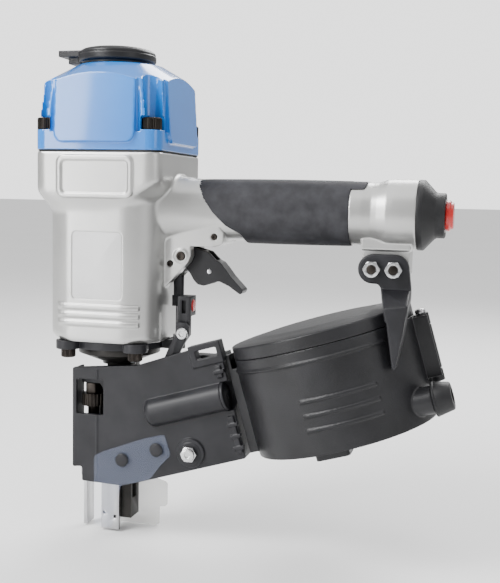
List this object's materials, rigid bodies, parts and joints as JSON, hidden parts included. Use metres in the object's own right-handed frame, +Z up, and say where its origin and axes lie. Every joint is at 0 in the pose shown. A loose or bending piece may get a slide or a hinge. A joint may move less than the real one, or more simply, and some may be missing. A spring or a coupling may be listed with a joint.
{
  "type": "pneumatic coil nailer",
  "caption": "Air-driven coil nail gun with round magazine, rubber-gripped handle, contact arm with depth dial, trigger valve and turning exhaust deflector.",
  "frame": {"origin": "centre of the nail outlet's mouth on the drive axis", "axes": "+Z up the drive axis towards the cap, +X towards the handle and air inlet, +Y towards the nose door"},
  "size_m": [0.2869, 0.125, 0.3423],
  "materials": {
    "silver_paint": "satin",
    "blue_paint": "gloss",
    "black_metal": "satin",
    "black_plastic": "grained",
    "trigger_plastic": "satin",
    "grip_rubber": "mottled",
    "black_rubber": "matte",
    "seal_rubber": "matte",
    "urethane": "satin",
    "red_plastic": "gloss",
    "clear_plastic": "clear",
    "valve_plastic": "satin",
    "label": "satin",
    "black_oxide": "black oxide",
    "tool_steel": "ground",
    "zinc": "zinc plated",
    "cast_steel": "cast",
    "valve_brass": "machined"
  },
  "bodies": {
    "tool": {"housing": "silver_paint", "rating_label": "label", "cylinder_cap": "blue_paint", "cap_gasket": "seal_rubber", "cap_bolts": "black_oxide", "deflector_bolt": "black_oxide", "rubber_grip": "grip_rubber", "end_cap": "black_rubber", "inlet_fitting": "tool_steel", "cylinder_sleeve": "tool_steel", "sleeve_seals": "seal_rubber", "piston_bumper": "urethane", "head_valve_spring": "tool_steel", "lower_plate": "black_metal", "plate_bolts": "black_oxide", "driver_guide": "cast_steel", "guide_rod": "tool_steel", "trigger_pin": "black_oxide", "valve_body": "valve_brass", "valve_spring": "tool_steel", "web_screws": "black_oxide", "arm_spring": "tool_steel", "feeder_housing": "black_metal", "feed_cap": "black_metal", "door_pin": "tool_steel", "feeder_nut": "zinc", "magazine_body": "black_plastic", "hinge_pin": "tool_steel", "tray_post": "black_plastic", "hanger_arm": "black_metal", "hanger_bolts": "black_oxide", "hanger_nuts": "zinc", "shield_near": "clear_plastic", "shield_far": "clear_plastic", "bumper_cap": "black_rubber"},
    "trigger": {"trigger": "trigger_plastic", "lever_pin": "tool_steel"},
    "trigger_lever": {"trigger_lever": "tool_steel"},
    "valve_stem": {"valve_stem": "tool_steel"},
    "contact_arm": {"contact_bracket": "black_metal", "contact_link": "black_metal", "link_bolt": "zinc"},
    "depth_dial": {"dial_wheel": "black_oxide", "dial_nut": "black_oxide"},
    "contact_foot": {"contact_foot": "tool_steel"},
    "red_button": {"red_button": "red_plastic"},
    "deflector": {"exhaust_deflector": "black_plastic"},
    "piston": {"piston": "tool_steel", "piston_ring": "seal_rubber", "driver_blade": "tool_steel"},
    "head_valve": {"head_valve": "valve_plastic"},
    "feed_piston": {"feed_piston": "tool_steel", "feed_spring": "tool_steel"},
    "feed_pawl": {"feed_pawl": "tool_steel"},
    "nose_door": {"nose_door": "black_metal", "latch_pin": "tool_steel"},
    "door_latch": {"door_latch": "black_oxide"},
    "magazine_cover": {"magazine_cover": "black_plastic"},
    "nail_tray": {"nail_tray": "black_plastic"},
    "dust_plug": {"dust_plug": "red_plastic"}
  },
  "joints": [
    {"name": "trigger_pull", "type": "hinge", "parent": "tool", "child": "trigger", "pos_m": [0.0512, 0, 0.1916], "axis": [0, -1, 0], "range_deg": [0, 6], "stiffness_Nm_per_rad": 0.35, "springref_deg": -22.92},
    {"name": "lever_rock", "type": "hinge", "parent": "trigger", "child": "trigger_lever", "pos_m": [0.0684, 0, 0.1809], "axis": [0, 1, 0], "range_deg": [0, 18], "stiffness_Nm_per_rad": 0.02, "springref_deg": -17.19},
    {"name": "valve_push", "type": "slide", "parent": "tool", "child": "valve_stem", "axis": [0, 0, 1], "range_m": [0, 0.0025], "stiffness_N_per_m": 900, "springref_m": -0.004, "deforming": ["valve_spring"]},
    {"name": "arm_lift", "type": "slide", "parent": "tool", "child": "contact_arm", "axis": [0, 0, 1], "range_m": [0, 0.008], "stiffness_N_per_m": 500, "springref_m": -0.02, "deforming": ["arm_spring"]},
    {"name": "depth_turn", "type": "hinge", "parent": "contact_arm", "child": "depth_dial", "pos_m": [-0.0145, -0.012, 0.087], "axis": [0, 0, 1], "range_deg": [-720, 720]},
    {"name": "foot_adjust", "type": "slide", "parent": "contact_arm", "child": "contact_foot", "axis": [0, 0, 1], "range_m": [-0.0025, 0.0025]},
    {"name": "button_push", "type": "slide", "parent": "contact_arm", "child": "red_button", "axis": [-1, 0, 0], "range_m": [0, 0.0015], "stiffness_N_per_m": 400, "springref_m": -0.004},
    {"name": "deflector_turn", "type": "hinge", "parent": "tool", "child": "deflector", "pos_m": [-0.003, 0, 0.32], "axis": [0, 0, 1], "continuous": true},
    {"name": "piston_stroke", "type": "slide", "parent": "tool", "child": "piston", "axis": [0, 0, -1], "range_m": [0, 0.081]},
    {"name": "head_valve_lift", "type": "slide", "parent": "tool", "child": "head_valve", "axis": [0, 0, 1], "range_m": [0, 0.005], "stiffness_N_per_m": 800, "springref_m": -0.01, "deforming": ["head_valve_spring"]},
    {"name": "feed_stroke", "type": "slide", "parent": "tool", "child": "feed_piston", "axis": [0.9588, 0, 0.284], "range_m": [0, 0.012], "stiffness_N_per_m": 300, "springref_m": -0.01},
    {"name": "pawl_swing", "type": "hinge", "parent": "feed_piston", "child": "feed_pawl", "pos_m": [0.04349, -0.0195, 0.08557], "axis": [0.284, 0, -0.9588], "range_deg": [0, 18], "stiffness_Nm_per_rad": 0.02, "springref_deg": -17.19},
    {"name": "door_open", "type": "hinge", "parent": "tool", "child": "nose_door", "pos_m": [0.08601, 0.007, 0.08284], "axis": [0.284, 0, -0.9588], "range_deg": [0, 100]},
    {"name": "latch_turn", "type": "hinge", "parent": "nose_door", "child": "door_latch", "pos_m": [0.026, 0.011, 0.08], "axis": [0, 1, 0], "range_deg": [0, 35]},
    {"name": "cover_open", "type": "hinge", "parent": "tool", "child": "magazine_cover", "pos_m": [0.22171, 0, 0.12825], "axis": [0.284, 0, -0.9588], "range_deg": [0, 110]},
    {"name": "tray_height", "type": "slide", "parent": "tool", "child": "nail_tray", "axis": [-0.284, 0, 0.9588], "range_m": [-0.004, 0.022]},
    {"name": "plug_pull", "type": "slide", "parent": "tool", "child": "dust_plug", "axis": [1, 0, 0], "range_m": [0, 0.06]}
  ],
  "couplings": [
    {"joint": "foot_adjust", "follows": "depth_turn", "m_per_rad": 0.00019894},
    {"joint": "lever_rock", "follows": "arm_lift", "rad_per_m": 38},
    {"joint": "valve_push", "follows": "trigger_pull", "m_per_rad": 0.0125}
  ]
}
